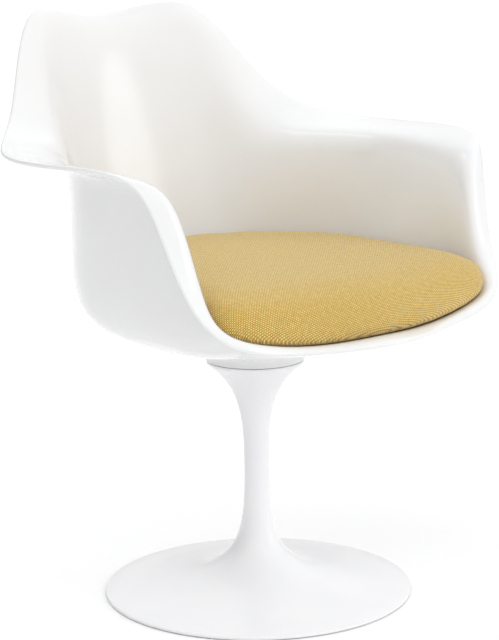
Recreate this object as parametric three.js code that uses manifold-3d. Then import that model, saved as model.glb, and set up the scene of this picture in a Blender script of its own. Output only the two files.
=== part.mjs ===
// Pedestal swivel armchair: a moulded bucket shell that turns on a cast trumpet pedestal, with a loose
// seat cushion. Millimetres, +Z up, the sitter faces -Y. The origin is on the floor, in the middle of
// the chair's width and depth; the swivel axis stands a little in front of it.

import * as THREE from "three";
import { mergeVertices } from "three/addons/utils/BufferGeometryUtils.js";
import Module from "manifold-3d";

const wasm = await Module();
wasm.setup();

// Gaps and overruns
const fitGap = 0.3; // between faces that touch
const runningGap = 0.3; // between the spindle and its bushes
const cutOverrun = 2; // a cutter passes the face that it cuts by this much
const weldDistance = 0.001;

// Pedestal casting
const pedestalHeight = 332.8;
const baseRadius = 217;
const pedestalTopRadius = 68;
const stemRadius = 17.2;
const waistHeight = 170; // where the stem is thinnest
const castingWall = 6;
const bossHeight = 36; // flat face under the stem, inside the hollow base
const bossRadius = 30;
const topEdgeHeight = 3; // upright edge under the seam
const rodBoreRadius = 6;
const outlineSteps = 26;

// Outline of the trumpet: share of the way out from the stem, share of the height to the waist
const lowerFlareShares = [
  [1, 0.031], [0.74, 0.068], [0.49, 0.118], [0.31, 0.176], [0.188, 0.26],
  [0.104, 0.36], [0.052, 0.48], [0.019, 0.635], [0.004, 0.82], [0, 1],
];
// The same above the waist: share of the way out to the top, share of the height above the waist
const upperFlareShares = [
  [0, 0.05], [0.01, 0.24], [0.034, 0.39], [0.11, 0.545], [0.256, 0.7], [0.505, 0.83], [0.8, 0.93],
];

// Floor glide, a ring pressed into a groove under the rim
const glideWidth = 7;
const glideHeight = 3;
const glideInset = 3.7; // from the rim to the ring
const rimClearance = 1.2; // the casting stands clear of the floor

// Swivel
const spindleRadius = 10;
const bushWall = 3.7;
const bushFlangeRadius = 24;
const bushFlangeHeight = 2.5;
const upperBushLength = 28;
const lowerBushLength = 20;
const socketDepth = 84; // bush bore, below the pedestal's top face
const flangeRecess = 6; // how deep the bush flange sits in the top face
const thrustWasherHeight = 1.5;
const spindleLength = 88; // from the swivel plate's top face down
const rodRadius = 5;
const rodEngagement = 24; // rod held in the spindle's end
const rodEndHeight = 14; // lower end of the rod above the floor
const rodWasherRadius = 13;
const rodWasherHeight = 2;
const rodNutHeight = 8;
const rodNutFlats = 17;

// Shell
const shellHalfWidth = 345; // axis to the arm's edge
const shellReach = 335; // axis to the top edge of the back
const shellRise = 447; // shell floor to the top of the back
const shellWall = 7;
const lipWall = 6; // thickness at the free edge
const lipStartShare = 0.875; // where the wall starts to thin towards the edge
const floorRadius = 92; // flat round floor under the cushion
const floorRingShares = [0.33, 0.65, 1];
const seamGap = 1.4; // shadow gap between pedestal and collar
const collarRadius = 69;
const collarHeight = 25.8; // seam to the shell's floor
const collarEdge = 3; // upright edge over the seam
const collarFlare = 22; // how far the collar flares out into the shell's underside
const collarSteps = 6;

// The shell's inner face, half of it, from the front centre round to the back centre.
// Each point: share of the half width, share of the reach, share of the rise above the floor.
const shellRingShares = {
  pan: [
    [0, -0.295, 0.012], [0.15, -0.275, 0.012], [0.3, -0.225, 0.018], [0.425, -0.15, 0.026],
    [0.5, -0.07, 0.034], [0.525, 0.02, 0.042], [0.51, 0.15, 0.046], [0.425, 0.32, 0.044],
    [0.31, 0.43, 0.038], [0.165, 0.49, 0.034], [0, 0.505, 0.036],
  ],
  foot: [
    [0, -0.43, 0.03], [0.22, -0.405, 0.031], [0.44, -0.35, 0.046], [0.6, -0.255, 0.07],
    [0.67, -0.135, 0.104], [0.69, 0, 0.12], [0.68, 0.18, 0.12], [0.565, 0.405, 0.116],
    [0.405, 0.56, 0.112], [0.21, 0.645, 0.11], [0, 0.665, 0.112],
  ],
  lowerWall: [
    [0, -0.56, 0.05], [0.27, -0.525, 0.051], [0.54, -0.47, 0.074], [0.696, -0.38, 0.12],
    [0.712, -0.22, 0.235], [0.71, -0.04, 0.28], [0.708, 0.17, 0.27], [0.583, 0.41, 0.265],
    [0.415, 0.595, 0.29], [0.235, 0.698, 0.365], [0, 0.72, 0.37],
  ],
  upperWall: [
    [0, -0.67, 0.078], [0.3, -0.63, 0.078], [0.605, -0.575, 0.107], [0.704, -0.5, 0.19],
    [0.719, -0.385, 0.415], [0.742, -0.195, 0.55], [0.738, 0.09, 0.57], [0.588, 0.38, 0.575],
    [0.457, 0.62, 0.625], [0.335, 0.812, 0.79], [0, 0.86, 0.76],
  ],
  lipCrest: [
    [0, -0.778, 0.11], [0.33, -0.73, 0.109], [0.646, -0.69, 0.165], [0.692, -0.585, 0.268],
    [0.73, -0.51, 0.482], [0.8, -0.385, 0.579], [0.83, 0.015, 0.599], [0.7, 0.34, 0.606],
    [0.555, 0.63, 0.685], [0.375, 0.868, 0.972], [0, 0.94, 0.95],
  ],
  lipEdge: [
    [0, -0.834, 0.092], [0.345, -0.752, 0.091], [0.672, -0.696, 0.136], [0.79, -0.566, 0.279],
    [0.85, -0.465, 0.493], [0.923, -0.333, 0.603], [0.994, -0.012, 0.618], [0.93, 0.373, 0.627],
    [0.674, 0.674, 0.734], [0.412, 0.907, 1], [0, 0.997, 0.984],
  ],
};

// Seat fixings
const plateMargin = 13; // swivel plate's edge to the collar's face
const plateHeight = 8;
const plateInset = 1.3; // up inside the collar
const plateBossInset = 2; // boss inside the bush flange's edge
const boltCount = 4;
const boltCircleRadius = 34;
const boltRadius = 4;
const boltHeadRadius = 7;
const boltHeadHeight = 3.5;
const clampMargin = 12; // bolt circle to the clamp plate's edge
const clampHeight = 3;
const clampHoleRadius = 14;
const padCount = 4;
const padRadius = 11;
const padHeight = 2;
const padSpacing = 3; // clamp plate to the pads

// Cushion
const boardHeight = 6;
const boardClearance = 5; // bolt heads to the board's hole
const cushionRise = 115; // underside of the foam to the crown
const cushionGap = 1.2; // to the shell
const cushionFloorShares = [0.54, 0.91]; // flat rings under the foam, shares of the board's radius
// How far up the shell's section the cushion's underside lies on it, and where it leaves the shell,
// front centre to back centre
const cushionRestShares = [0.375, 0.4875];
const cushionLeaveShares = [0.865, 0.865, 0.85, 0.74, 0.64, 0.6, 0.6, 0.6, 0.6, 0.594, 0.5875];
// Widest line of the cushion, front centre to back centre: shares of the shell's half width, reach
// and rise
const cushionSideShares = [
  [0, -0.76, 0.113], [0.315, -0.737, 0.113], [0.628, -0.68, 0.15], [0.685, -0.563, 0.192],
  [0.692, -0.38, 0.208], [0.692, -0.1, 0.216], [0.686, 0.14, 0.216], [0.57, 0.385, 0.216],
  [0.402, 0.545, 0.216], [0.208, 0.64, 0.216], [0, 0.66, 0.216],
];
// Top of the cushion: share of the outline's reach, share of the way up from the widest line
const cushionTopShares = [[1, 0.43], [0.945, 0.79], [0.77, 0.93], [0.43, 0.985], [0.12, 1]];

// Facets
const roundSides = 48;
const smallSides = 24;
const columnsPerStation = 3;
const settlingPasses = 24; // until the curve runs through the stations
// Rows of facets: shares of the way along a section, from the middle of the floor
const shellRowShares = [
  0, 0.155, 0.215, 0.275, 0.35, 0.41, 0.475, 0.54, 0.6, 0.675, 0.75, 0.81, 0.86, 0.905, 0.95, 1,
];
const cushionRowShares = [
  0, 0.1, 0.2, 0.26, 0.32, 0.37, 0.41, 0.45, 0.49, 0.53, 0.57, 0.61, 0.65, 0.69, 0.74, 0.8, 0.9,
];

// Finishes
const finishes = {
  enamel: { color: 0xe9e9ea, roughness: 0.25, metalness: 0 },
  gelcoat: { color: 0xf1f1f0, roughness: 0.15, metalness: 0 },
  fabric: { color: 0xd0a245, roughness: 0.9, metalness: 0 },
  board: { color: 0x8c7a5c, roughness: 0.7, metalness: 0 },
  steel: { color: 0x9aa0a5, roughness: 0.35, metalness: 1 },
  zinc: { color: 0xb4b8bb, roughness: 0.4, metalness: 1 },
  nylon: { color: 0xe6e2d5, roughness: 0.55, metalness: 0 },
  rubber: { color: 0x3a3a3a, roughness: 0.85, metalness: 0 },
  hookTape: { color: 0x2c2c2e, roughness: 0.95, metalness: 0 },
};

// Radii that follow from the sizes above
const plateRadius = collarRadius - plateMargin;
const plateBossRadius = bushFlangeRadius - plateBossInset;
const clampRadius = boltCircleRadius + clampMargin;
const padCircleRadius = clampRadius + padSpacing + padRadius;
const boardRadius = floorRadius;
const boardHoleRadius = boltCircleRadius + boltHeadRadius + boardClearance;
const bushBore = spindleRadius + runningGap;

// Heights that follow
const collarFoot = pedestalHeight + seamGap;
const shellFloorHeight = collarFoot + collarHeight;
const bushSeat = pedestalHeight - flangeRecess;
const bushFlangeTop = bushSeat + fitGap + bushFlangeHeight;
const thrustTop = bushFlangeTop + fitGap + thrustWasherHeight;
const plateBossFoot = thrustTop + fitGap;
const plateFoot = collarFoot + plateInset;
const plateTop = plateFoot + plateHeight;
const clampTop = shellFloorHeight + fitGap + clampHeight;
const padTop = shellFloorHeight + fitGap + padHeight;
const hookTop = padTop + fitGap + padHeight;
const boardFoot = hookTop + fitGap;
const cushionFoot = boardFoot + boardHeight + fitGap;

// A closed mesh becomes a solid once its shared corners are merged
function solidOf(geometry) {
  const bare = new THREE.BufferGeometry();
  bare.setAttribute("position", geometry.getAttribute("position"));
  bare.setIndex(geometry.index);
  const merged = mergeVertices(bare, weldDistance);
  const corners = [];
  for (let i = 0; i < merged.index.count; i += 3) {
    const [a, b, c] = [0, 1, 2].map((k) => merged.index.getX(i + k));
    if (a !== b && b !== c && c !== a) corners.push(a, b, c);
  }
  const vertProperties = Float32Array.from(merged.getAttribute("position").array);
  const triVerts = Uint32Array.from(corners);
  return new wasm.Manifold(new wasm.Mesh({ numProp: 3, vertProperties, triVerts }));
}

function geometryOf(solid) {
  const mesh = solid.getMesh();
  const geometry = new THREE.BufferGeometry();
  const positions = Float32Array.from(mesh.vertProperties);
  geometry.setAttribute("position", new THREE.BufferAttribute(positions, 3));
  geometry.setIndex(Array.from(mesh.triVerts));
  geometry.computeVertexNormals();
  return geometry;
}

// A solid of revolution about Z; the profile runs anticlockwise as [radius, height]
function turned(profile, sides) {
  const points = profile.map(([radius, height]) => new THREE.Vector2(radius, height));
  return solidOf(new THREE.LatheGeometry(points, sides).rotateX(Math.PI / 2));
}

function disc(radius, foot, top, sides = smallSides) {
  return turned([[0, foot], [radius, foot], [radius, top], [0, top]], sides);
}

function ring(inner, outer, foot, top, sides = smallSides) {
  return turned([[inner, foot], [outer, foot], [outer, top], [inner, top], [inner, foot]], sides);
}

function hexagon(flats, foot, top) {
  return disc(flats / Math.sqrt(3), foot, top, 6);
}

// Weights of a uniform cubic B-spline and of its slope
function splineWeights(t) {
  const second = (3 * t ** 3 - 6 * t ** 2 + 4) / 6;
  const third = (-3 * t ** 3 + 3 * t ** 2 + 3 * t + 1) / 6;
  return [(1 - t) ** 3 / 6, second, third, t ** 3 / 6];
}

function slopeWeights(t) {
  const second = (3 * t ** 2 - 4 * t) / 2;
  const third = (-3 * t ** 2 + 2 * t + 1) / 2;
  return [-((1 - t) ** 2) / 2, second, third, t ** 2 / 2];
}

// Both halves of a set of stations, then control points that make the curve round the shell pass
// through the stations themselves
function closedNet(stations) {
  const otherHalf = stations.slice(1, -1).reverse().map((section) =>
    section.map((point) => new THREE.Vector3(-point.x, point.y, point.z)));
  const wanted = [...stations, ...otherHalf];
  let net = wanted.map((section) => section.map((point) => point.clone()));
  for (let pass = 0; pass < settlingPasses; pass += 1) {
    net = net.map((section, u) => section.map((point, v) => {
      const before = net[(u + net.length - 1) % net.length][v];
      const after = net[(u + 1) % net.length][v];
      const reached = point.clone().multiplyScalar(4).add(before).add(after).divideScalar(6);
      return point.clone().add(wanted[u][v]).sub(reached);
    }));
  }
  return net.map((section) => {
    const first = section[0].clone().multiplyScalar(2).sub(section[1]);
    const last = section.at(-1).clone().multiplyScalar(2).sub(section.at(-2));
    return [first, ...section, last];
  });
}

function weighted(net, u, v, uWeights, vWeights) {
  const sum = new THREE.Vector3();
  const uStart = Math.floor(u);
  const vStart = Math.min(Math.floor(v), net[0].length - 4);
  for (let i = 0; i < 4; i += 1) {
    const section = net[(uStart + i - 1 + net.length) % net.length];
    for (let j = 0; j < 4; j += 1) {
      sum.addScaledVector(section[vStart + j], uWeights(u - uStart)[i] * vWeights(v - vStart)[j]);
    }
  }
  return sum;
}

// u counts stations; alongShare is the share of the way along the section
function surfacePoint(net, u, alongShare) {
  return weighted(net, u, alongShare * (net[0].length - 3), splineWeights, splineWeights);
}

function surfaceNormal(net, u, alongShare) {
  const v = alongShare * (net[0].length - 3);
  const around = weighted(net, u, v, slopeWeights, splineWeights);
  const along = weighted(net, u, v, splineWeights, slopeWeights);
  return along.cross(around).normalize();
}

// A skin of rows, each a closed loop of points, capped by a point at either end
function skinned(rows, firstTip, lastTip) {
  const count = rows[0].length;
  const points = [firstTip, ...rows.flat(), lastTip];
  const lastRow = 1 + (rows.length - 1) * count;
  const index = [];
  for (let i = 0; i < count; i += 1) {
    const next = (i + 1) % count;
    index.push(0, 1 + i, 1 + next);
    for (let row = 0; row < rows.length - 1; row += 1) {
      const [low, high] = [1 + row * count, 1 + (row + 1) * count];
      index.push(low + i, high + i, high + next, low + i, high + next, low + next);
    }
    index.push(lastRow + i, points.length - 1, lastRow + next);
  }
  const geometry = new THREE.BufferGeometry().setFromPoints(points);
  geometry.setIndex(index);
  return solidOf(geometry);
}

function columnsOf(net) {
  return Array.from({ length: net.length * columnsPerStation }, (_, i) => i / columnsPerStation);
}

function placeOf([acrossShare, alongShare, upShare]) {
  return new THREE.Vector3(
    acrossShare * shellHalfWidth, alongShare * shellReach, shellFloorHeight + upShare * shellRise);
}

// Where one station crosses flat round rings, from the front centre to the back centre
function flatRings(radius, ringShares, station, height) {
  const lastStation = shellRingShares.pan.length - 1;
  const angle = Math.PI * (station / lastStation - 0.5);
  const outward = new THREE.Vector3(radius * Math.cos(angle), radius * Math.sin(angle), 0);
  return ringShares.map((share) => outward.clone().multiplyScalar(share).setZ(height));
}

// Shell

function shellNet() {
  const rings = Object.values(shellRingShares);
  const stations = rings[0].map((_, station) => {
    const floor = flatRings(floorRadius, floorRingShares, station, shellFloorHeight);
    return [...floor, ...rings.map((shares) => placeOf(shares[station]))];
  });
  return closedNet(stations);
}

function shellSkin(net) {
  const columns = columnsOf(net);
  const inner = shellRowShares.map((share) => columns.map((u) => surfacePoint(net, u, share)));
  const outer = shellRowShares.map((share) => {
    const thinning = THREE.MathUtils.smoothstep(share, lipStartShare, 1);
    const wall = THREE.MathUtils.lerp(shellWall, lipWall, thinning);
    return columns.map((u) =>
      surfacePoint(net, u, share).addScaledVector(surfaceNormal(net, u, share), -wall));
  });
  const edge = columns.map((u, i) => {
    const middle = inner.at(-1)[i].clone().add(outer.at(-1)[i]).divideScalar(2);
    const outward = inner.at(-1)[i].clone().sub(inner.at(-2)[i]).normalize();
    return middle.addScaledVector(outward, lipWall / 2);
  });
  const top = new THREE.Vector3(0, 0, shellFloorHeight);
  const bottom = new THREE.Vector3(0, 0, shellFloorHeight - shellWall);
  return skinned([...inner, edge, ...outer.reverse()], top, bottom);
}

function onCircle(count, radius, place) {
  return Array.from({ length: count }, (_, i) => {
    const angle = 2 * Math.PI * (i + 0.5) / count;
    return place(radius * Math.cos(angle), radius * Math.sin(angle), i);
  });
}

// Bolt holes through a piece that lies between two heights
function drilled(body, foot, top) {
  const drill = disc(boltRadius + fitGap, foot - cutOverrun, top + cutOverrun);
  const holes = onCircle(boltCount, boltCircleRadius, (x, y) => drill.translate([x, y, 0]));
  return holes.reduce((rest, hole) => rest.subtract(hole), body);
}

// Round spigot under the shell's floor, with a hollow flare where it runs into the underside
function collar() {
  const inside = shellFloorHeight - shellWall / 2;
  const flareFoot = collarFoot + collarEdge;
  const flareRise = shellFloorHeight - shellWall - flareFoot;
  const flare = Array.from({ length: collarSteps + 1 }, (_, i) => {
    const angle = Math.PI / 2 * i / collarSteps;
    const radius = collarRadius + collarFlare * (1 - Math.cos(angle));
    return [radius, flareFoot + flareRise * Math.sin(angle)];
  });
  return turned([[0, collarFoot], [collarRadius, collarFoot], ...flare,
    [collarRadius + collarFlare, inside], [0, inside]], roundSides);
}

function shell(net) {
  const recess = disc(plateRadius + fitGap, collarFoot - cutOverrun, plateTop + fitGap, roundSides);
  return drilled(shellSkin(net).add(collar()).subtract(recess), plateTop, shellFloorHeight);
}

// Pedestal

function trumpetOutline() {
  const lower = lowerFlareShares.map(([outShare, upShare]) =>
    new THREE.Vector3(stemRadius + outShare * (baseRadius - stemRadius), upShare * waistHeight, 0));
  const upper = upperFlareShares.map(([outShare, upShare]) => new THREE.Vector3(
    stemRadius + outShare * (pedestalTopRadius - stemRadius),
    waistHeight + upShare * (pedestalHeight - waistHeight), 0));
  const top = new THREE.Vector3(pedestalTopRadius, pedestalHeight - topEdgeHeight, 0);
  const curve = new THREE.CatmullRomCurve3([...lower, ...upper, top], false, "centripetal");
  return curve.getPoints(outlineSteps).map((point) => [point.x, point.y]);
}

function pedestal() {
  const outline = trumpetOutline();
  const grooveOuter = baseRadius - glideInset + fitGap;
  const grooveInner = baseRadius - glideInset - glideWidth - fitGap;
  const hollowRadius = grooveInner - castingWall;
  const hollow = outline
    .filter(([radius, height]) => radius < hollowRadius && height - castingWall < bossHeight)
    .map(([radius, height]) => [radius, Math.max(height - castingWall, rimClearance)])
    .reverse();
  const socketRadius = bushBore + bushWall + fitGap;
  const recessRadius = bushFlangeRadius + 2 * fitGap;
  const socketFoot = pedestalHeight - socketDepth;
  return turned([
    [rodBoreRadius, bossHeight], [bossRadius, bossHeight], ...hollow,
    [grooveInner - castingWall / 2, rimClearance], [grooveInner, rimClearance],
    [grooveInner, glideHeight + fitGap], [grooveOuter, glideHeight + fitGap],
    [grooveOuter, rimClearance], [baseRadius, rimClearance], ...outline,
    [pedestalTopRadius, pedestalHeight], [recessRadius, pedestalHeight], [recessRadius, bushSeat],
    [socketRadius, bushSeat], [socketRadius, socketFoot], [rodBoreRadius, socketFoot],
    [rodBoreRadius, bossHeight],
  ], roundSides);
}

function floorGlide() {
  const outer = baseRadius - glideInset;
  return ring(outer - glideWidth, outer, 0, glideHeight, roundSides);
}

// Swivel

function upperBush() {
  const flangeFoot = bushSeat + fitGap;
  const foot = flangeFoot - upperBushLength;
  return turned([[bushBore, foot], [bushBore + bushWall, foot], [bushBore + bushWall, flangeFoot],
    [bushFlangeRadius, flangeFoot], [bushFlangeRadius, bushFlangeTop], [bushBore, bushFlangeTop],
    [bushBore, foot]], smallSides);
}

function lowerBush() {
  const foot = pedestalHeight - socketDepth + fitGap;
  return ring(bushBore, bushBore + bushWall, foot, foot + lowerBushLength);
}

function thrustWasher() {
  return ring(bushBore, bushFlangeRadius, bushFlangeTop + fitGap, thrustTop);
}

function spindle() {
  const foot = plateTop - spindleLength;
  const blind = foot + rodEngagement + fitGap;
  return turned([[rodRadius + fitGap, foot], [spindleRadius, foot], [spindleRadius, plateTop],
    [0, plateTop], [0, blind], [rodRadius + fitGap, blind], [rodRadius + fitGap, foot]], smallSides);
}

function swivelPlate() {
  const bore = spindleRadius + fitGap;
  const plate = turned([[bore, plateBossFoot], [plateBossRadius, plateBossFoot],
    [plateBossRadius, plateFoot], [plateRadius, plateFoot], [plateRadius, plateTop],
    [bore, plateTop], [bore, plateBossFoot]], roundSides);
  return drilled(plate, plateFoot, plateTop);
}

function clampPlate() {
  const foot = shellFloorHeight + fitGap;
  return drilled(ring(clampHoleRadius, clampRadius, foot, clampTop, roundSides), foot, clampTop);
}

function seatBolt() {
  const under = clampTop + fitGap;
  return turned([[0, plateFoot], [boltRadius, plateFoot], [boltRadius, under], [boltHeadRadius, under],
    [boltHeadRadius, under + boltHeadHeight], [0, under + boltHeadHeight]], smallSides);
}

// Cushion

function cushionNet(shellSurface) {
  const crown = cushionFoot + cushionRise;
  const stations = cushionSideShares.map((shares, station) => {
    const floor = flatRings(boardRadius, cushionFloorShares, station, cushionFoot);
    const resting = [...cushionRestShares, cushionLeaveShares[station]].map((share) => {
      const point = surfacePoint(shellSurface, station, share);
      point.addScaledVector(surfaceNormal(shellSurface, station, share), cushionGap);
      point.z = Math.max(point.z, cushionFoot);
      return point;
    });
    const side = placeOf(shares);
    const top = cushionTopShares.map(([reachShare, upShare]) => new THREE.Vector3(
      side.x * reachShare, side.y * reachShare, side.z + upShare * (crown - side.z)));
    return [...floor, ...resting, side, ...top];
  });
  return closedNet(stations);
}

function cushion(shellSurface) {
  const net = cushionNet(shellSurface);
  const columns = columnsOf(net);
  const rows = cushionRowShares.map((share) => columns.map((u) => surfacePoint(net, u, share)));
  const crown = new THREE.Vector3(0, 0, cushionFoot + cushionRise);
  return skinned(rows.reverse(), crown, new THREE.Vector3(0, 0, cushionFoot));
}

// Assembly

const chair = new THREE.Group();
chair.name = "pedestal_swivel_armchair";
const onAxis = new THREE.Group();
const lipMiddles = [shellRingShares.lipEdge.at(0), shellRingShares.lipEdge.at(-1)].map(placeOf);
onAxis.position.y = -(lipMiddles[0].y + lipMiddles[1].y) / 2;
chair.add(onAxis);

const materials = Object.fromEntries(Object.entries(finishes).map(([name, look]) =>
  [name, new THREE.MeshStandardMaterial(look)]));

function addPiece(name, solid, finish, x = 0, y = 0) {
  const mesh = new THREE.Mesh(geometryOf(solid), materials[finish]);
  mesh.name = name;
  mesh.position.set(x, y, 0);
  onAxis.add(mesh);
}

addPiece("pedestal", pedestal(), "enamel");
addPiece("floor_glide", floorGlide(), "rubber");
addPiece("upper_bush", upperBush(), "nylon");
addPiece("lower_bush", lowerBush(), "nylon");
addPiece("thrust_washer", thrustWasher(), "steel");

const shellSurface = shellNet();
addPiece("shell", shell(shellSurface), "gelcoat");
addPiece("swivel_plate", swivelPlate(), "steel");
addPiece("clamp_plate", clampPlate(), "zinc");
addPiece("spindle", spindle(), "steel");
addPiece("tie_rod", disc(rodRadius, rodEndHeight, plateTop - spindleLength + rodEngagement), "zinc");
addPiece("rod_washer", ring(rodRadius + fitGap, rodWasherRadius, bossHeight - fitGap - rodWasherHeight,
  bossHeight - fitGap), "nylon");
const nutTop = bossHeight - 2 * fitGap - rodWasherHeight;
addPiece("lock_nut", hexagon(rodNutFlats, nutTop - rodNutHeight, nutTop)
  .subtract(disc(rodRadius + fitGap, nutTop - rodNutHeight - cutOverrun, nutTop + cutOverrun)), "zinc");
onCircle(boltCount, boltCircleRadius, (x, y, i) =>
  addPiece(`seat_bolt_${i + 1}`, seatBolt(), "zinc", x, y));
onCircle(padCount, padCircleRadius, (x, y, i) => {
  addPiece(`loop_pad_${i + 1}`, disc(padRadius, shellFloorHeight + fitGap, padTop), "hookTape", x, y);
  addPiece(`hook_pad_${i + 1}`, disc(padRadius, padTop + fitGap, hookTop), "hookTape", x, y);
});

const boardTop = boardFoot + boardHeight;
addPiece("cushion_board", ring(boardHoleRadius, boardRadius, boardFoot, boardTop, roundSides), "board");
addPiece("cushion", cushion(shellSurface), "fabric");

export default chair;
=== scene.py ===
# Pedestal swivel armchair: a moulded bucket shell that turns on a cast trumpet pedestal, with a loose
# seat cushion. Blender metres, +Z up, the sitter faces -Y. Lengths in the dictionaries are millimetres.
import math

import bmesh
import bpy
import numpy as np
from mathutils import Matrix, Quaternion, Vector
from mathutils.bvhtree import BVHTree
from mathutils.kdtree import KDTree


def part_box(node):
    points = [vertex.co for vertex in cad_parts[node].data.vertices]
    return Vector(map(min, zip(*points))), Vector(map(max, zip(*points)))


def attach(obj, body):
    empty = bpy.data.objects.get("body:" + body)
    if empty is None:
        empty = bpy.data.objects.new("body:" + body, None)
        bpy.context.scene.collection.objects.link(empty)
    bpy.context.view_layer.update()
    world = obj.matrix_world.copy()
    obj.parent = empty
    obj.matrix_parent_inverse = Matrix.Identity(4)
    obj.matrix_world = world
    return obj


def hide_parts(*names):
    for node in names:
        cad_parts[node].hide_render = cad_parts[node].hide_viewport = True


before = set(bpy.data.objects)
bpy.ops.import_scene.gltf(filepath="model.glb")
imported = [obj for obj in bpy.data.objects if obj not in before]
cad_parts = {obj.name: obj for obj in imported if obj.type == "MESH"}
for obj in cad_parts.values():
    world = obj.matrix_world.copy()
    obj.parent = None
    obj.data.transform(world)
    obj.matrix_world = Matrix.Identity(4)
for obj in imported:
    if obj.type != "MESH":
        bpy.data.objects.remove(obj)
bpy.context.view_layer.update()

mm = 0.001
pedestalLow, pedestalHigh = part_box("pedestal")
axisPlace = np.array([(pedestalLow.x + pedestalHigh.x) / 2, (pedestalLow.y + pedestalHigh.y) / 2, 0])
print("frame loaded:", len(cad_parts), "nodes")


# Camera: where the photograph was taken from, and the lens that gives its perspective
cameraLook = {
    "place": (-1.7631, -2.0707, 0.9301),
    "toward": (0.6385, 0.7440, -0.1968),
    "rollDegrees": -0.82,
    "lens": 111.7,
    "sensor": 36,
}


def makeCamera():
    data = bpy.data.cameras.new("camera")
    data.lens = cameraLook["lens"]
    data.sensor_width = cameraLook["sensor"]
    camera = bpy.data.objects.new("camera", data)
    bpy.context.scene.collection.objects.link(camera)
    camera.location = cameraLook["place"]
    roll = Quaternion((0, 0, 1), math.radians(cameraLook["rollDegrees"]))
    camera.rotation_mode = "QUATERNION"
    camera.rotation_quaternion = Vector(cameraLook["toward"]).to_track_quat("-Z", "Y") @ roll
    bpy.context.scene.camera = camera


makeCamera()
print("camera set")


# Materials: helpers

def linearColour(code, alpha=1.0):
    shares = [int(code[i:i + 2], 16) / 255 for i in (1, 3, 5)]
    return [c / 12.92 if c <= 0.04045 else ((c + 0.055) / 1.055) ** 2.4 for c in shares] + [alpha]


def addNode(tree, kind, links=None, **settings):  # settings are the node's own, links go to its sockets
    node = tree.nodes.new("ShaderNode" + kind)
    for key, value in settings.items():
        setattr(node, key, value)
    for socket, value in (links or {}).items():
        if isinstance(value, bpy.types.NodeSocket):
            tree.links.new(value, node.inputs[socket])
        else:
            node.inputs[socket].default_value = value
    return node


def newMaterial(name, **sockets):
    material = bpy.data.materials.new(name)
    material.use_nodes = True
    tree = material.node_tree
    shader = tree.nodes["Principled BSDF"]
    for socket, value in sockets.items():
        shader.inputs[socket.replace("_", " ")].default_value = value
    return material, tree, shader


def chairSpace(tree):  # position in metres: every mesh sits at the origin, so one space serves them all
    return addNode(tree, "TexCoord").outputs["Object"]


def speckle(tree, sizeMm, detail=2.0, where=None):
    links = {"Vector": where or chairSpace(tree), "Scale": 1 / (sizeMm * mm), "Detail": detail}
    return addNode(tree, "TexNoise", links).outputs["Fac"]


def ramp(tree, value, low, high, fromLow=0.3, fromHigh=0.7):
    links = {"Value": value, "From Min": fromLow, "From Max": fromHigh, "To Min": low, "To Max": high}
    return addNode(tree, "MapRange", links).outputs["Result"]


def blendColours(tree, factor, first, second):
    mix = addNode(tree, "Mix", data_type="RGBA")
    for socket, value in ((0, factor), (6, first), (7, second)):
        if isinstance(value, bpy.types.NodeSocket):
            tree.links.new(value, mix.inputs[socket])
        else:
            mix.inputs[socket].default_value = value
    return mix.outputs[2]


def bumpSkin(tree, shader, height, depthMm):
    bump = addNode(tree, "Bump", {"Height": height, "Distance": depthMm * mm, "Strength": 1.0})
    tree.links.new(bump.outputs["Normal"], shader.inputs["Normal"])


# Polyester gelcoat, sprayed in the mould and polished: a clear gloss over an even white, with the
# faintest orange peel and a few polishing marks that only the highlights show
gelcoatLook = {
    "white": "#E7E8E9", "aged": "#E5E5E5", "patchMm": 160, "peelMm": 3.5, "peelDepthMm": 0.004,
    "glossiest": 0.12, "dullest": 0.2, "polishMm": 45, "coat": 0.35, "coatRoughness": 0.04,
}


def polishedGelcoat():
    look = gelcoatLook
    material, tree, shader = newMaterial("polished_gelcoat", IOR=1.5, Coat_Weight=look["coat"],
                                         Coat_Roughness=look["coatRoughness"])
    colour = blendColours(tree, ramp(tree, speckle(tree, look["patchMm"]), 0, 1),
                          linearColour(look["white"]), linearColour(look["aged"]))
    tree.links.new(colour, shader.inputs["Base Color"])
    gloss = ramp(tree, speckle(tree, look["polishMm"], detail=5), look["glossiest"], look["dullest"])
    tree.links.new(gloss, shader.inputs["Roughness"])
    bumpSkin(tree, shader, speckle(tree, look["peelMm"]), look["peelDepthMm"])
    return material


# Enamel, baked on a ground casting: satin white, a little softer than the shell
enamelLook = {
    "white": "#EFEFF0", "shade": "#ECECEE", "patchMm": 90, "grainMm": 2.4, "grainDepthMm": 0.003,
    "glossiest": 0.22, "dullest": 0.26, "polishMm": 60,
}


def bakedEnamel():
    look = enamelLook
    material, tree, shader = newMaterial("baked_enamel", IOR=1.5)
    colour = blendColours(tree, ramp(tree, speckle(tree, look["patchMm"]), 0, 1),
                          linearColour(look["white"]), linearColour(look["shade"]))
    tree.links.new(colour, shader.inputs["Base Color"])
    gloss = ramp(tree, speckle(tree, look["polishMm"], detail=4), look["glossiest"], look["dullest"])
    tree.links.new(gloss, shader.inputs["Roughness"])
    bumpSkin(tree, shader, speckle(tree, look["grainMm"]), look["grainDepthMm"])
    return material


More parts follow.
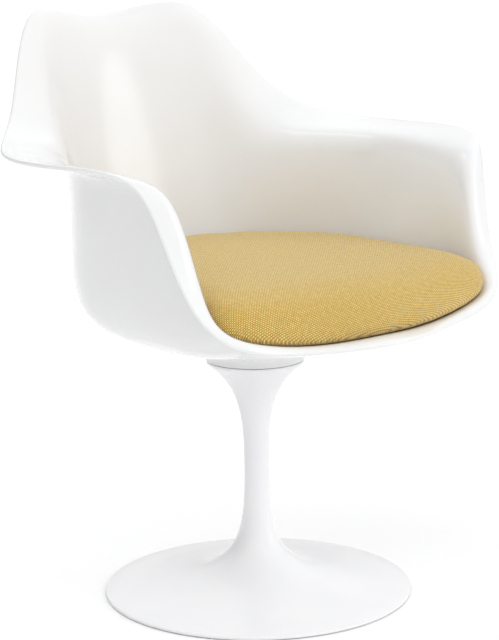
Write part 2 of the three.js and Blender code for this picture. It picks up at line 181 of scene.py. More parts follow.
# Wool, plain woven from two thick yarns: a lighter warp over a darker weft, with painted shade in the gaps
# between the threads, gives the cloth its grain of light dots, and loose fibres give it a pale bloom along
# its edges. The threads of such a cloth lie about 1.9 mm apart, which is too fine to show from where the
# photograph was taken, so they are drawn 2.3 mm apart.
woolLook = {
    # shade is the painted shade of the gaps between the yarns, and also the tone of the random darker
    # patches
    "warp": "#FFE884", "weft": "#EBB852", "shade": "#7A5818", "threadMm": 2.3, "reliefMm": 0.5,
    "threadRound": 0.7, "threadDip": 0.6,  # how full a thread is across, and how far it dips along
    "gapFrom": 0.15, "gapTo": 0.75,  # the heights between which the dark of the gaps gives way to yarn
    "patchMm": 7, "patchShade": 0.25, "roughness": 0.9,
    "fuzz": "#FFF0CE", "fuzzWeight": 0.7, "fuzzRoughness": 0.5,
}


def wovenWool():
    look = woolLook
    material, tree, shader = newMaterial(
        "woven_wool", Roughness=look["roughness"], Sheen_Weight=look["fuzzWeight"],
        Sheen_Roughness=look["fuzzRoughness"], Sheen_Tint=linearColour(look["fuzz"]))
    spot = addNode(tree, "Attribute", attribute_name="clothSpot").outputs["Vector"]
    parts = addNode(tree, "SeparateXYZ", {"Vector": spot})

    def maths(operation, first, second=0.0):
        return addNode(tree, "Math", {0: first, 1: second}, operation=operation).outputs[0]

    threads = [maths("MULTIPLY", parts.outputs[k], 1 / (look["threadMm"] * mm)) for k in (0, 1)]
    rounds = [maths("SINE", maths("MULTIPLY", maths("FRACT", t), math.pi)) for t in threads]
    cell = maths("ADD", maths("FLOOR", threads[0]), maths("FLOOR", threads[1]))
    over = maths("PINGPONG", cell, 1.0)  # 0 where the weft is on top, 1 where the warp is
    across = addNode(tree, "Mix", {0: over, 2: rounds[0], 3: rounds[1]}).outputs[0]
    along = addNode(tree, "Mix", {0: over, 2: rounds[1], 3: rounds[0]}).outputs[0]
    dip = maths("ADD", maths("MULTIPLY", along, look["threadDip"]), 1 - look["threadDip"])
    height = maths("MULTIPLY", maths("POWER", across, look["threadRound"]), dip)
    yarn = blendColours(tree, over, linearColour(look["weft"]), linearColour(look["warp"]))
    # Painted shade: low in the weave, in the gaps between the yarns, the colour darkens toward the shade
    # colour
    raised = ramp(tree, height, 0, 1, fromLow=look["gapFrom"], fromHigh=look["gapTo"])
    gapShadedYarn = blendColours(tree, raised, linearColour(look["shade"]), yarn)
    tint = ramp(tree, speckle(tree, look["patchMm"], detail=3, where=spot), 0.0, look["patchShade"])
    colour = blendColours(tree, tint, gapShadedYarn, linearColour(look["shade"]))
    tree.links.new(colour, shader.inputs["Base Color"])
    bumpSkin(tree, shader, height, look["reliefMm"])
    return material


# EPDM rubber, moulded: near black, dull
rubberLook = {
    "black": "#2B2B2B", "dusty": "#3C3B3A", "patchMm": 6, "grainMm": 1, "grainDepthMm": 0.03,
    "glossiest": 0.7, "dullest": 0.9, "bloomMm": 1.5,
}


def mouldedRubber():
    look = rubberLook
    material, tree, shader = newMaterial("moulded_rubber", IOR=1.5)
    colour = blendColours(tree, speckle(tree, look["patchMm"]),
                          linearColour(look["black"]), linearColour(look["dusty"]))
    tree.links.new(colour, shader.inputs["Base Color"])
    gloss = ramp(tree, speckle(tree, look["bloomMm"]), look["glossiest"], look["dullest"])
    tree.links.new(gloss, shader.inputs["Roughness"])
    bumpSkin(tree, shader, speckle(tree, look["grainMm"]), look["grainDepthMm"])
    return material


# Steel, turned on a lathe: rings about the swivel axis, drawn coarser than a lathe leaves them, because its
# feed of about 0.2 mm is too fine to show
steelLook = {
    "groove": "#8E9195", "ridge": "#A6A9AC", "waveMm": 6, "waver": 0.4, "ringDepthMm": 0.01,
    "glossiest": 0.28, "dullest": 0.42,
}


def turnedSteel():
    look = steelLook
    material, tree, shader = newMaterial("turned_steel", Metallic=1.0)
    fromAxis = addNode(tree, "Mapping", {"Vector": chairSpace(tree), "Location": tuple(-axisPlace)})
    links = {"Vector": fromAxis.outputs["Vector"], "Scale": 1 / (look["waveMm"] * mm),
             "Distortion": look["waver"]}
    rings = addNode(tree, "TexWave", links, wave_type="RINGS", rings_direction="Z").outputs["Fac"]
    colour = blendColours(tree, rings, linearColour(look["groove"]), linearColour(look["ridge"]))
    tree.links.new(colour, shader.inputs["Base Color"])
    gloss = ramp(tree, rings, look["glossiest"], look["dullest"], fromLow=0, fromHigh=1)
    tree.links.new(gloss, shader.inputs["Roughness"])
    bumpSkin(tree, shader, rings, look["ringDepthMm"])
    return material


# Steel, zinc plated: cool grey with the faint bloom of the passivated layer
zincLook = {
    "clean": "#B9BDC1", "bloom": "#A9ABA3", "patchMm": 5, "grainMm": 0.8, "grainDepthMm": 0.01,
    "glossiest": 0.3, "dullest": 0.48, "smearMm": 2,
}


def zincPlatedSteel():
    look = zincLook
    material, tree, shader = newMaterial("zinc_plated_steel", Metallic=1.0)
    colour = blendColours(tree, ramp(tree, speckle(tree, look["patchMm"], detail=4), 0, 1),
                          linearColour(look["clean"]), linearColour(look["bloom"]))
    tree.links.new(colour, shader.inputs["Base Color"])
    gloss = ramp(tree, speckle(tree, look["smearMm"], detail=3), look["glossiest"], look["dullest"])
    tree.links.new(gloss, shader.inputs["Roughness"])
    bumpSkin(tree, shader, speckle(tree, look["grainMm"]), look["grainDepthMm"])
    return material


# Nylon, injection moulded: milky, slightly waxy
nylonLook = {
    "milky": "#E9E4D6", "waxy": "#DFD9C8", "patchMm": 8, "grainMm": 1.2, "grainDepthMm": 0.01,
    "glossiest": 0.4, "dullest": 0.55, "smearMm": 2, "scatter": 0.1, "scatterMm": 2,
}


def mouldedNylon():
    look = nylonLook
    material, tree, shader = newMaterial("moulded_nylon", IOR=1.53, Subsurface_Weight=look["scatter"],
                                         Subsurface_Scale=look["scatterMm"] * mm)
    colour = blendColours(tree, speckle(tree, look["patchMm"]),
                          linearColour(look["milky"]), linearColour(look["waxy"]))
    tree.links.new(colour, shader.inputs["Base Color"])
    gloss = ramp(tree, speckle(tree, look["smearMm"]), look["glossiest"], look["dullest"])
    tree.links.new(gloss, shader.inputs["Roughness"])
    bumpSkin(tree, shader, speckle(tree, look["grainMm"]), look["grainDepthMm"])
    return material


# Birch plywood, sawn and sanded: pale long grain on the faces, glue lines round the edge
plywoodLook = {
    "sapwood": "#D9BF94", "lateWood": "#BE9E6C", "glue": "#8C6B42", "glueShade": 0.5, "grainMm": 2.2,
    "grainStretch": 0.06, "grainDepthMm": 0.05, "waveMm": 9.5, "glossiest": 0.5, "dullest": 0.7,
}


def birchPlywood():
    look = plywoodLook
    material, tree, shader = newMaterial("birch_plywood", IOR=1.45)
    stretch = {"Vector": chairSpace(tree), "Scale": (1, look["grainStretch"], 1)}
    stretched = addNode(tree, "Mapping", stretch).outputs["Vector"]
    grain = ramp(tree, speckle(tree, look["grainMm"], detail=5, where=stretched), 0, 1)
    face = blendColours(tree, grain, linearColour(look["sapwood"]), linearColour(look["lateWood"]))
    links = {"Vector": chairSpace(tree), "Scale": 1 / (look["waveMm"] * mm)}
    plies = addNode(tree, "TexWave", links, bands_direction="Z").outputs["Fac"]
    glueLine = ramp(tree, plies, 0, look["glueShade"], fromLow=0.6, fromHigh=0.9)
    colour = blendColours(tree, glueLine, face, linearColour(look["glue"]))
    tree.links.new(colour, shader.inputs["Base Color"])
    gloss = ramp(tree, grain, look["glossiest"], look["dullest"], fromLow=0, fromHigh=1)
    tree.links.new(gloss, shader.inputs["Roughness"])
    bumpSkin(tree, shader, grain, look["grainDepthMm"])
    return material


# Nylon hook-and-loop tape, woven: a dense black pile, with painted shade darkening it toward its roots
tapeLook = {
    "tips": "#3A3A3D", "paintedRootShade": "#161618", "loopMm": 1.2, "pileMm": 0.5, "roughness": 0.95, "sheen": 0.4,
}


def hookTape():
    look = tapeLook
    material, tree, shader = newMaterial("nylon_hook_tape", Roughness=look["roughness"],
                                         Sheen_Weight=look["sheen"])
    links = {"Vector": chairSpace(tree), "Scale": 1 / (look["loopMm"] * mm)}
    pile = addNode(tree, "TexVoronoi", links).outputs["Distance"]
    # Painted shade: the pile darkens toward its roots, between the loops
    colour = blendColours(tree, pile, linearColour(look["tips"]), linearColour(look["paintedRootShade"]))
    tree.links.new(colour, shader.inputs["Base Color"])
    bumpSkin(tree, shader, pile, look["pileMm"])
    return material


materials = {
    "enamel": bakedEnamel(), "gelcoat": polishedGelcoat(), "fabric": wovenWool(), "board": birchPlywood(),
    "steel": turnedSteel(), "zinc": zincPlatedSteel(), "nylon": mouldedNylon(), "rubber": mouldedRubber(),
    "hook_tape": hookTape(),
}
print("materials made:", len(materials))


# Meshes: helpers

def makePiece(name, corners, faces, slotName, body, *nodes):
    mesh = bpy.data.meshes.new(name)
    mesh.from_pydata([tuple(c) for c in corners], [], faces)
    shape = bmesh.new()
    shape.from_mesh(mesh)
    bmesh.ops.remove_doubles(shape, verts=shape.verts, dist=1e-6)
    bmesh.ops.recalc_face_normals(shape, faces=shape.faces)
    shape.to_mesh(mesh)
    shape.free()
    mesh.polygons.foreach_set("use_smooth", [True] * len(mesh.polygons))
    mesh.materials.append(materials[slotName])
    piece = bpy.data.objects.new(name, mesh)
    bpy.context.scene.collection.objects.link(piece)
    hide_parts(*nodes)
    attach(piece, body)
    return piece


def skinRows(rows, firstTip=None, lastTip=None):  # each row is a closed loop of points
    count = len(rows[0])
    corners = [point for row in rows for point in row]
    faces = []
    for low in range(0, (len(rows) - 1) * count, count):
        for i in range(count):
            after = (i + 1) % count
            faces.append((low + i, low + after, low + count + after, low + count + i))
    for tip, row in ((firstTip, 0), (lastTip, (len(rows) - 1) * count)):
        if tip is not None:
            corners.append(tip)
            faces += [(row + i, row + (i + 1) % count, len(corners) - 1) for i in range(count)]
    return corners, faces


def roundedProfile(points, arcSteps=4):  # each point is radius, height and the round on its corner, in mm
    out = []
    for i, (radius, height, fillet) in enumerate(points):
        here = Vector((radius, height))
        if not fillet or i in (0, len(points) - 1):
            out.append(here)
            continue
        before = (Vector(points[i - 1][:2]) - here).normalized()
        after = (Vector(points[i + 1][:2]) - here).normalized()
        halfAngle = before.angle(after) / 2
        centre = here + (before + after).normalized() * fillet / math.sin(halfAngle)
        first = here + before * fillet / math.tan(halfAngle) - centre
        last = here + after * fillet / math.tan(halfAngle) - centre
        for k in range(arcSteps + 1):
            out.append(centre + first.slerp(last, k / arcSteps))
    return out


def ringOf(radius, height, angles):  # mm to metres, round the swivel axis
    cosines, sines = np.cos(angles), np.sin(angles)
    points = np.stack([radius * mm * cosines, radius * mm * sines, np.full(len(angles), height * mm)], -1)
    return points + axisPlace


def turnedPiece(name, profile, sides, slotName, body, *nodes):
    angles = np.arange(sides) * 2 * math.pi / sides
    rows = [ringOf(point[0], point[1], angles) for point in profile]
    corners, faces = skinRows(rows)
    return makePiece(name, corners, faces, slotName, body, *nodes)


# A surface laid over stations round the seat and rings from its middle outwards: a uniform cubic
# B-spline that passes through the stations
stationPasses = 24  # after so many the surface meets every station


def splineBasis(t):
    terms = [(1 - t) ** 3, 3 * t**3 - 6 * t**2 + 4, -3 * t**3 + 3 * t**2 + 3 * t + 1, t**3]
    return np.stack(terms, -1) / 6


def closedNet(half):  # half is an array of station, ring, xyz, from the front centre to the back centre
    other = half[-2:0:-1] * np.array([-1, 1, 1])
    wanted = np.concatenate([half, other])
    net = wanted.copy()
    for _ in range(stationPasses):
        net = net + wanted - (4 * net + np.roll(net, 1, 0) + np.roll(net, -1, 0)) / 6
    first = 2 * net[:, :1] - net[:, 1:2]
    last = 2 * net[:, -1:] - net[:, -2:-1]
    return np.concatenate([first, net, last], 1)


def surfaceAt(net, u, v):
    uCell = np.floor(u).astype(int)
    vCell = np.minimum(np.floor(v).astype(int), net.shape[1] - 4)
    uWeight, vWeight = splineBasis(u - uCell), splineBasis(v - vCell)
    points = np.zeros(u.shape + (3,))
    for i in range(4):
        for j in range(4):
            weight = uWeight[..., i] * vWeight[..., j]
            points += net[(uCell + i - 1) % len(net), vCell + j] * weight[..., None]
    return points


def normalAt(net, u, v):
    step = 0.001  # of a station or a ring
    held = np.clip(v, step, net.shape[1] - 3 - step)
    around = surfaceAt(net, u + step, held) - surfaceAt(net, u - step, held)
    along = surfaceAt(net, u, held + step) - surfaceAt(net, u, held - step)
    normal = np.cross(along, around)
    return normal / np.linalg.norm(normal, axis=-1, keepdims=True)


# Shell
shellShape = {
    "halfWidth": 345, "reach": 335, "rise": 447,  # what the ring shares below are shares of
    "wall": 7, "lip": 6, "lipStartShare": 0.875,
    "floorRadius": 92, "floorRingShares": (0.33, 0.65, 1),
    "collarRadius": 69, "collarEdge": 3, "collarFlare": 22, "blend": 8, "edgeRound": 0.8,
    "recessRadius": 56.3, "fitGap": 0.3,  # the gap that touching pieces keep
    "leaveRings": (1.0, 3.5), "leavePasses": 20,  # the rings between which the outer skin leaves the collar
    "columnsPerStation": 10, "innerRows": 64, "outerRows": 56, "lipSteps": 10, "flareSteps": 10,
}
# Half of the inner face, from the front centre round to the back centre: across, along, up
shellRings = {
    "pan": [
        (0, -0.295, 0.012), (0.15, -0.275, 0.012), (0.3, -0.225, 0.018), (0.425, -0.15, 0.026),
        (0.5, -0.07, 0.034), (0.525, 0.02, 0.042), (0.51, 0.15, 0.046), (0.425, 0.32, 0.044),
        (0.31, 0.43, 0.038), (0.165, 0.49, 0.034), (0, 0.505, 0.036)],
    "foot": [
        (0, -0.43, 0.03), (0.22, -0.405, 0.031), (0.44, -0.35, 0.046), (0.6, -0.255, 0.07),
        (0.67, -0.135, 0.104), (0.69, 0, 0.12), (0.68, 0.18, 0.12), (0.565, 0.405, 0.116),
        (0.405, 0.56, 0.112), (0.21, 0.645, 0.11), (0, 0.665, 0.112)],
    "lowerWall": [
        (0, -0.56, 0.05), (0.27, -0.525, 0.051), (0.54, -0.47, 0.074), (0.696, -0.38, 0.12),
        (0.712, -0.22, 0.235), (0.71, -0.04, 0.28), (0.708, 0.17, 0.27), (0.583, 0.41, 0.265),
        (0.415, 0.595, 0.29), (0.235, 0.698, 0.365), (0, 0.72, 0.37)],
    "upperWall": [
        (0, -0.67, 0.078), (0.3, -0.63, 0.078), (0.605, -0.575, 0.107), (0.704, -0.5, 0.19),
        (0.719, -0.385, 0.415), (0.742, -0.195, 0.55), (0.738, 0.09, 0.57), (0.588, 0.38, 0.575),
        (0.457, 0.62, 0.625), (0.335, 0.812, 0.79), (0, 0.86, 0.76)],
    "lipCrest": [
        (0, -0.778, 0.11), (0.33, -0.73, 0.109), (0.646, -0.69, 0.165), (0.692, -0.585, 0.268),
        (0.73, -0.51, 0.482), (0.8, -0.385, 0.579), (0.83, 0.015, 0.599), (0.7, 0.34, 0.606),
        (0.555, 0.63, 0.685), (0.375, 0.868, 0.972), (0, 0.94, 0.95)],
    "lipEdge": [
        (0, -0.834, 0.092), (0.345, -0.752, 0.091), (0.672, -0.696, 0.136), (0.79, -0.566, 0.279),
        (0.85, -0.465, 0.493), (0.923, -0.333, 0.603), (0.994, -0.012, 0.618), (0.93, 0.373, 0.627),
        (0.674, 0.674, 0.734), (0.412, 0.907, 1), (0, 0.997, 0.984)],
}
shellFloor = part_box("loop_pad_1")[0].z / mm - shellShape["fitGap"]
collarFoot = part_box("shell")[0].z / mm


def shellPlaces(shares):
    spans = np.array([shellShape["halfWidth"], shellShape["reach"], shellShape["rise"]])
    return np.array(shares) * spans + np.array([0, 0, shellFloor])


def flatRings(radius, ringShares, height, stations):
    angles = np.pi * (np.arange(stations) / (stations - 1) - 0.5)
    outward = np.stack([np.cos(angles), np.sin(angles), np.zeros(stations)], -1) * radius
    return [outward * share + np.array([0, 0, height]) for share in ringShares]


def shellNet():
    rings = [shellPlaces(shares) for shares in shellRings.values()]
    flat = flatRings(shellShape["floorRadius"], shellShape["floorRingShares"], shellFloor, len(rings[0]))
    return closedNet(np.stack(flat + rings, 1))


def makeShell(net):
    size = shellShape
    lastRow = net.shape[1] - 3
    u = np.arange(len(net) * size["columnsPerStation"]) / size["columnsPerStation"]

    def outerPoints(v):
        share = np.clip((v / lastRow - size["lipStartShare"]) / (1 - size["lipStartShare"]), 0, 1)
        wall = size["wall"] + (size["lip"] - size["wall"]) * share**2 * (3 - 2 * share)
        return surfaceAt(net, u, v) - normalAt(net, u, v) * wall[:, None]

    inner = [surfaceAt(net, u, np.full(len(u), v)) for v in np.linspace(0, lastRow, size["innerRows"])]
    # the outer skin starts where it leaves the collar's flare
    low, high = (np.full(len(u), ring) for ring in size["leaveRings"])
    wanted = size["collarRadius"] + size["collarFlare"] + size["blend"]
    for _ in range(size["leavePasses"]):
        middle = (low + high) / 2
        inside = np.linalg.norm(outerPoints(middle)[:, :2], axis=1) < wanted
        low, high = np.where(inside, middle, low), np.where(inside, high, middle)
    outer = [outerPoints(low + (lastRow - low) * share)
             for share in np.linspace(1, 0, size["outerRows"])]
    centre = (inner[-1] + outer[0]) / 2
    outward = inner[-1] - inner[-2]
    outward = outward / np.linalg.norm(outward, axis=1, keepdims=True)
    turns = np.linspace(0, math.pi, size["lipSteps"] + 2)[1:-1]
    lip = [centre + (inner[-1] - centre) * math.cos(turn) + outward * size["lip"] / 2 * math.sin(turn)
           for turn in turns]
    angles = np.arctan2(outer[-1][:, 1], outer[-1][:, 0])
    flareFoot = collarFoot + size["collarEdge"]
    flareRise = shellFloor - size["wall"] - flareFoot
    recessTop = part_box("swivel_plate")[1].z / mm + size["fitGap"]
    collar = []
    for k in range(size["flareSteps"], -1, -1):
        turn = math.pi / 2 * k / size["flareSteps"]
        collar.append((size["collarRadius"] + size["collarFlare"] * (1 - math.cos(turn)),
                       flareFoot + flareRise * math.sin(turn)))
    edge = roundedProfile([
        (size["collarRadius"], flareFoot, 0), (size["collarRadius"], collarFoot, size["edgeRound"]),
        (size["recessRadius"], collarFoot, size["edgeRound"]), (size["recessRadius"], recessTop, 0)])
    collar += [tuple(point) for point in edge[1:]]
    rings = [ringOf(radius, height, angles) for radius, height in collar]
    rows = [row * mm + axisPlace for row in inner + lip + outer] + rings
    floorTip = axisPlace + np.array([0, 0, shellFloor * mm])
    recessTip = axisPlace + np.array([0, 0, recessTop * mm])
    corners, faces = skinRows(rows, floorTip, recessTip)
    return makePiece("moulded_shell", corners, faces, "gelcoat", "seat", "shell")


shellSurface = shellNet()
moulded = makeShell(shellSurface)
print("shell made")


# Pedestal: the trumpet's outline as shares of the way out from the stem and of the height
pedestalShape = {
    "topRadius": 68, "stemRadius": 17.2, "waist": 170, "wall": 6, "bossHeight": 36, "bossRadius": 30,
    "topEdge": 3, "rodBore": 6, "rimRound": 1.6, "topRound": 0.8, "sides": 192, "stepsPerSpan": 6,
    "grooveInset": 3.4, "grooveWidth": 7.6, "grooveTop": 3.3, "rimClearance": 1.2,
    "flangeRadius": 24.6, "flangeDepth": 2.8, "bushRadius": 14.3, "bushDepth": 84,
}
lowerFlare = [
    (1, 0.031), (0.74, 0.068), (0.49, 0.118), (0.31, 0.176), (0.188, 0.26),
    (0.104, 0.36), (0.052, 0.48), (0.019, 0.635), (0.004, 0.82), (0, 1)]
upperFlare = [
    (0, 0.05), (0.01, 0.24), (0.034, 0.39), (0.11, 0.545), (0.256, 0.7), (0.505, 0.83), (0.8, 0.93)]


def between(first, last, start, end, t):
    return (first * (end - t) + last * (t - start)) / (end - start)


def smoothPath(points, steps):  # centripetal Catmull-Rom through the points
    points = [np.array(point, float) for point in points]
    padded = [2 * points[0] - points[1], *points, 2 * points[-1] - points[-2]]
    path = []
    for i in range(len(points) - 1):
        corners = padded[i:i + 4]
        knots = np.cumsum([0] + [math.dist(*pair) ** 0.5 for pair in zip(corners, corners[1:])])
        for t in np.linspace(knots[1], knots[2], steps, endpoint=False):
            lines = [between(corners[j], corners[j + 1], knots[j], knots[j + 1], t) for j in range(3)]
            arcs = [between(lines[j], lines[j + 1], knots[j], knots[j + 2], t) for j in range(2)]
            path.append(between(*arcs, knots[1], knots[2], t))
    return path + [points[-1]]


def makePedestal():
    size = pedestalShape
    height = pedestalHigh.z / mm
    baseRadius = (pedestalHigh.x - pedestalLow.x) / 2 / mm
    stem, waist = size["stemRadius"], size["waist"]
    points = [(stem + out * (baseRadius - stem), up * waist) for out, up in lowerFlare]
    points += [(stem + out * (size["topRadius"] - stem), waist + up * (height - waist))
               for out, up in upperFlare]
    points.append((size["topRadius"], height - size["topEdge"]))
    outline = smoothPath(points, size["stepsPerSpan"])
    grooveOuter = baseRadius - size["grooveInset"]
    grooveInner = grooveOuter - size["grooveWidth"]
    hollow = [(r, max(z - size["wall"], size["rimClearance"])) for r, z in outline
              if r < grooveInner - size["wall"] and z - size["wall"] < size["bossHeight"]]
    rimTop = roundedProfile([
        (baseRadius, size["rimClearance"], 0), (baseRadius, outline[0][1], size["rimRound"]),
        tuple(outline[2]) + (0,)])[1:-1]
    profile = [(size["rodBore"], size["bossHeight"]), (size["bossRadius"], size["bossHeight"])]
    profile += hollow[::-1]
    profile += [
        (grooveInner - size["wall"] / 2, size["rimClearance"]), (grooveInner, size["rimClearance"]),
        (grooveInner, size["grooveTop"]), (grooveOuter, size["grooveTop"]),
        (grooveOuter, size["rimClearance"]), (baseRadius - size["topRound"], size["rimClearance"]),
        (baseRadius, size["rimClearance"] + size["topRound"])]
    profile += [tuple(p) for p in rimTop] + [tuple(p) for p in outline[2:]]
    profile += [tuple(p) for p in roundedProfile([
        (size["topRadius"], height - size["topEdge"], 0), (size["topRadius"], height, size["topRound"]),
        (size["flangeRadius"], height, 0)])[1:]]
    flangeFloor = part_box("upper_bush")[1].z / mm - size["flangeDepth"]
    boreFloor = height - size["bushDepth"]
    profile += [(size["flangeRadius"], flangeFloor), (size["bushRadius"], flangeFloor),
                (size["bushRadius"], boreFloor), (size["rodBore"], boreFloor),
                (size["rodBore"], size["bossHeight"])]
    return turnedPiece("trumpet_pedestal", profile, size["sides"], "enamel", "pedestal", "pedestal")


pedestalPiece = makePedestal()
print("pedestal made")


# Cushion
cushionShape = {
    "floorShares": (0.54, 0.91), "gap": 1.2, "restShares": (0.375, 0.4875),
    "columnsPerStation": 8, "rows": 72, "crownShare": 0.9,  # the tip closes what is left
}
cushionLeave = [0.865, 0.865, 0.85, 0.74, 0.64, 0.6, 0.6, 0.6, 0.6, 0.594, 0.5875]
cushionSide = [
    (0, -0.76, 0.113), (0.315, -0.737, 0.113), (0.628, -0.68, 0.15), (0.685, -0.563, 0.192),
    (0.692, -0.38, 0.208), (0.692, -0.1, 0.216), (0.686, 0.14, 0.216), (0.57, 0.385, 0.216),
    (0.402, 0.545, 0.216), (0.208, 0.64, 0.216), (0, 0.66, 0.216)]
cushionTop = [(1, 0.43), (0.945, 0.79), (0.77, 0.93), (0.43, 0.985), (0.12, 1)]
# The cover: cloth a little too small for the foam, blown up until it is tight, with a seam underneath
coverLook = {
    "inset": 1.2, "voxel": 5, "pressure": 4, "frames": 20, "farthest": 5,
    "proud": 0.8, "sunk": 1.5, "easeSteps": 4,  # how far it may leave the foam, and how it evens out
    "leanGap": 1.2, "leanReach": 16, "leanSteps": 30, "leanSlope": 0.35,
    "seamRow": 3.2, "seamDepth": 1.4, "seamWidth": 2.6,
}


def cushionNet(shellSurface):
    size = cushionShape
    foot, crown = (corner.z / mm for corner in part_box("cushion"))
    boardLow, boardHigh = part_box("cushion_board")
    boardRadius = (boardHigh.x - boardLow.x) / 2 / mm
    count = len(cushionSide)
    rings = flatRings(boardRadius, size["floorShares"], foot, count)
    stations = np.arange(count, dtype=float)
    lastRow = shellSurface.shape[1] - 3
    for share in [*size["restShares"], cushionLeave]:
        v = np.broadcast_to(np.array(share) * lastRow, (count,))
        resting = surfaceAt(shellSurface, stations, v) + normalAt(shellSurface, stations, v) * size["gap"]
        resting[:, 2] = np.maximum(resting[:, 2], foot)
        rings.append(resting)
    side = shellPlaces(cushionSide)
    rings.append(side)
    for reach, up in cushionTop:
        ring = side * np.array([reach, reach, 1])
        ring[:, 2] = side[:, 2] + up * (crown - side[:, 2])
        rings.append(ring)
    return closedNet(np.stack(rings, 1)), foot, crown


def makeCushion():
    size = cushionShape
    net, foot, crown = cushionNet(shellSurface)
    u = np.arange(len(net) * size["columnsPerStation"]) / size["columnsPerStation"]
    lastRow = net.shape[1] - 3
    rows = [surfaceAt(net, u, np.full(len(u), v)) * mm + axisPlace
            for v in np.linspace(0, size["crownShare"] * lastRow, size["rows"])]
    footTip = axisPlace + np.array([0, 0, foot * mm])
    crownTip = axisPlace + np.array([0, 0, crown * mm])
    corners, faces = skinRows(rows, footTip, crownTip)
    piece = makePiece("seat_cushion", corners, faces, "fabric", "cushion", "cushion")
    blowUp(piece)
    leanOnShell(piece)
    seam = surfaceAt(net, u, np.full(len(u), coverLook["seamRow"])) * mm + axisPlace
    sewSeam(piece, seam)
    laySpots(piece, crownTip)
    return piece


def readVectors(items, field):
    values = np.zeros(len(items) * 3)
    items.foreach_get(field, values)
    return values.reshape(-1, 3)


def meshPlaces(mesh):
    return readVectors(mesh.vertices, "co")


def meshNormals(mesh):
    return readVectors(mesh.vertex_normals, "vector")


def setPlaces(mesh, places):
    mesh.vertices.foreach_set("co", np.ascontiguousarray(places, dtype=np.float32).ravel())
    mesh.update()


def skinTree(mesh):
    return BVHTree.FromPolygons([v.co.copy() for v in mesh.vertices],
                                [tuple(face.vertices) for face in mesh.polygons])


def applyModifiers(piece):
    shaped = bpy.data.meshes.new_from_object(piece.evaluated_get(bpy.context.evaluated_depsgraph_get()))
    piece.modifiers.clear()
    piece.data = shaped
    shaped.polygons.foreach_set("use_smooth", [True] * len(shaped.polygons))


def blowUp(piece):
    look = coverLook
    scene = bpy.context.scene
    form = skinTree(piece.data)
    setPlaces(piece.data, meshPlaces(piece.data) - meshNormals(piece.data) * look["inset"] * mm)
    grid = piece.modifiers.new("grid", "REMESH")
    grid.mode = "VOXEL"
    grid.voxel_size = look["voxel"] * mm
    applyModifiers(piece)
    start = meshPlaces(piece.data)
    cloth = piece.modifiers.new("cover", "CLOTH")
    cloth.settings.use_pressure = True
    cloth.settings.uniform_pressure_force = look["pressure"]
    cloth.settings.effector_weights.gravity = 0
    cloth.point_cache.frame_start = 1
    cloth.point_cache.frame_end = look["frames"]
    for step in range(1, look["frames"] + 1):
        scene.frame_set(step)
    applyModifiers(piece)
    scene.frame_set(1)
    moved = meshPlaces(piece.data) - start
    distance = np.linalg.norm(moved, axis=1, keepdims=True)
    moved *= np.minimum(1, look["farthest"] * mm / np.maximum(distance, 1e-9))
    places = start + moved
    for i, point in enumerate(places):  # the foam keeps the cover from standing off or sinking in
        near = form.find_nearest(Vector(point))[0]
        away = Vector(point) - near
        outside = form.ray_cast(Vector(point), away)[0] is None
        most = (look["proud"] if outside else look["sunk"]) * mm
        if away.length > most:
            places[i] = near + away.normalized() * most
    setPlaces(piece.data, spreadVectors(piece.data, places, look["easeSteps"]))
    finer = piece.modifiers.new("finer", "SUBSURF")
    finer.levels = 1
    applyModifiers(piece)


def spreadOut(mesh, field, steps):  # each point takes the mean of its neighbours, a few times over
    ends = np.zeros(len(mesh.edges) * 2, dtype=np.int32)
    mesh.edges.foreach_get("vertices", ends)
    first, second = ends.reshape(-1, 2).T
    neighbours = np.bincount(ends, minlength=len(field))
    for _ in range(steps):
        field = (np.bincount(first, field[second], len(field))
                 + np.bincount(second, field[first], len(field))) / neighbours
    return field


def spreadVectors(mesh, vectors, steps):
    return np.stack([spreadOut(mesh, field, steps) for field in vectors.T], -1)


def leanOnShell(piece):  # the soft side sinks against the shell, so what hangs free beside it fills out
    look = coverLook
    shellSkin = skinTree(moulded.data)
    places = meshPlaces(piece.data)
    normals = spreadVectors(piece.data, meshNormals(piece.data), look["leanSteps"])
    normals /= np.linalg.norm(normals, axis=1, keepdims=True)
    free = np.full(len(places), np.inf)
    reach = (look["leanReach"] + look["leanGap"]) * mm
    for i, (point, way) in enumerate(zip(places, normals)):
        distance = shellSkin.ray_cast(Vector(point), Vector(way), reach)[3]
        if distance is not None:
            free[i] = distance / mm - look["leanGap"]
    push = np.where(np.isinf(free), 0, free * (1 - np.minimum(1, free / look["leanReach"]) ** 2) ** 2)
    push *= np.clip(-normals[:, 2] / look["leanSlope"], 0, 1)  # only what faces down, so that it lifts out
    push = np.minimum(spreadOut(piece.data, push, look["leanSteps"]), free)
    setPlaces(piece.data, places + normals * push[:, None] * mm)


def sewSeam(piece, seam):  # the seam draws the cover in along a line under its edge
    look = coverLook
    tree = KDTree(len(seam))
    for i, point in enumerate(seam):
        tree.insert(point, i)
    tree.balance()
    places, normals = meshPlaces(piece.data), meshNormals(piece.data)
    gaps = np.array([tree.find(point)[2] for point in places]) / mm
    drawn = look["seamDepth"] * mm * np.exp(-(gaps / look["seamWidth"]) ** 2)
    setPlaces(piece.data, places - normals * drawn[:, None])


def laySpots(piece, crownTip):  # where each point of the cover lay on the cloth before it was drawn down
    mesh = piece.data
    places = meshPlaces(mesh) - crownTip
    out = np.linalg.norm(places[:, :2], axis=1)
    down = -places[:, 2]
    stretch = np.where(out > 1e-6, (out + down) / np.maximum(out, 1e-6), 1)
    spots = places * np.stack([stretch, stretch, np.zeros(len(out))], -1)
    layer = mesh.attributes.new("clothSpot", "FLOAT_VECTOR", "POINT")
    layer.data.foreach_set("vector", spots.ravel())


cushionPiece = makeCushion()
print("cushion made")


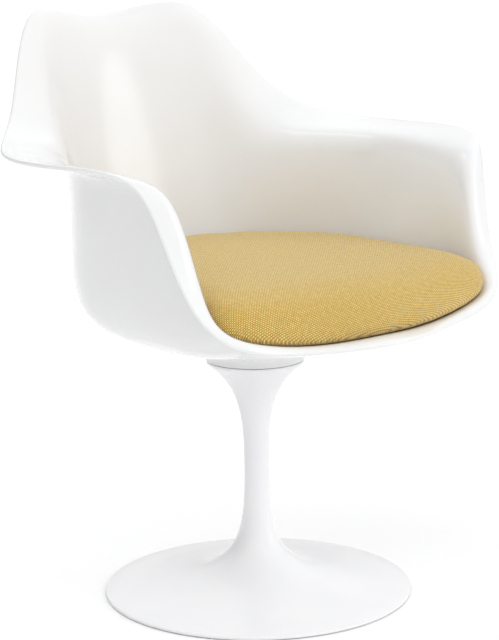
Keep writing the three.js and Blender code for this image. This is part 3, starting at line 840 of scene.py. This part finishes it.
# Small parts keep their CAD shapes, with eased edges
smallParts = {
    "floor_glide": "rubber", "upper_bush": "nylon", "lower_bush": "nylon", "thrust_washer": "steel",
    "swivel_plate": "steel", "clamp_plate": "zinc", "spindle": "steel", "tie_rod": "zinc",
    "rod_washer": "nylon", "lock_nut": "zinc", "cushion_board": "board",
}
smallParts.update({f"seat_bolt_{i}": "zinc" for i in range(1, 5)})
smallParts.update({f"{side}_pad_{i}": "hook_tape" for side in ("loop", "hook") for i in range(1, 5)})
edgeLook = {"ease": 0.25, "steps": 2, "sharpDegrees": 40}


def finishSmallParts():
    for node, slotName in smallParts.items():
        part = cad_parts[node]
        part.data.materials.clear()
        part.data.materials.append(materials[slotName])
        easing = part.modifiers.new("easing", "BEVEL")
        easing.width = edgeLook["ease"] * mm
        easing.segments = edgeLook["steps"]
        easing.limit_method = "ANGLE"
        easing.angle_limit = math.radians(edgeLook["sharpDegrees"])


finishSmallParts()
print("small parts finished")


# Studio: an even pale sweep under a broad overhead light, with softer boxes round it. Each box is the
# way to it, its half width in degrees and how bright it is. One that is below zero is a dark screen.
studioLook = {
    "horizon": 0.44, "overhead": 0.82, "fullFromDegrees": 36, "wall": 1.0,
    "floorWhite": 0.97, "floorRoughness": 0.7, "floorReachMetres": 60,
    "boxes": [
        ((0.56, -0.83, 0.15), 70, 0.52), ((0.5, 0.58, 0.64), 45, 0.4), ((-0.74, 0.64, 0.1), 60, -0.35),
        ((-0.6, -0.34, 0.71), 50, 0.5), ((0.63, -0.72, 0.24), 14, 1.8), ((-0.3, 0.2, 0.93), 14, 1.2)],
    "boxCore": 0.5,  # the share of its width that is fully bright
}


def makeSky(scene):
    world = bpy.data.worlds.new("studio")
    scene.world = world
    world.use_nodes = True
    tree = world.node_tree
    look = studioLook
    toward = addNode(tree, "TexCoord").outputs["Generated"]
    height = addNode(tree, "SeparateXYZ", {"Vector": toward}).outputs["Z"]
    light = addNode(tree, "MapRange", {
        "Value": height, "From Min": 0.0, "From Max": math.sin(math.radians(look["fullFromDegrees"])),
        "To Min": look["horizon"], "To Max": look["overhead"]}, interpolation_type="SMOOTHERSTEP")
    total = light.outputs["Result"]
    for way, halfWidth, strength in look["boxes"]:
        middle = Vector(way).normalized()
        facing = addNode(tree, "VectorMath", {0: toward, 1: middle}, operation="DOT_PRODUCT")
        spread = addNode(tree, "MapRange", {
            "Value": facing.outputs["Value"], "From Min": math.cos(math.radians(halfWidth)),
            "From Max": math.cos(math.radians(halfWidth * look["boxCore"])),
            "To Min": 0.0, "To Max": strength}, interpolation_type="SMOOTHSTEP")
        total = addNode(tree, "Math", {0: total, 1: spread.outputs["Result"]}, operation="ADD").outputs[0]
    # past the floor's edge the studio's wall is white to look at, and only its light varies
    seen = addNode(tree, "LightPath").outputs["Is Camera Ray"]
    shown = addNode(tree, "Mix", {0: seen, 2: total, 3: look["wall"]}).outputs[0]
    tree.links.new(shown, tree.nodes["Background"].inputs["Strength"])
    tree.nodes["Background"].inputs["Color"].default_value = (1, 1, 1, 1)


def makeFloor(scene):
    reach = studioLook["floorReachMetres"]
    mesh = bpy.data.meshes.new("floor")
    mesh.from_pydata([(-reach, -reach, 0), (reach, -reach, 0), (reach, reach, 0), (-reach, reach, 0)], [],
                     [(0, 1, 2, 3)])
    floor = bpy.data.objects.new("floor", mesh)
    scene.collection.objects.link(floor)
    white = [studioLook["floorWhite"]] * 3 + [1]
    material = newMaterial("floor_paint", Base_Color=white, Roughness=studioLook["floorRoughness"],
                           Specular_IOR_Level=0.0)[0]
    mesh.materials.append(material)


def makeStudio():
    scene = bpy.context.scene
    scene.view_settings.view_transform = "Standard"
    makeSky(scene)
    makeFloor(scene)


makeStudio()
print("studio set")
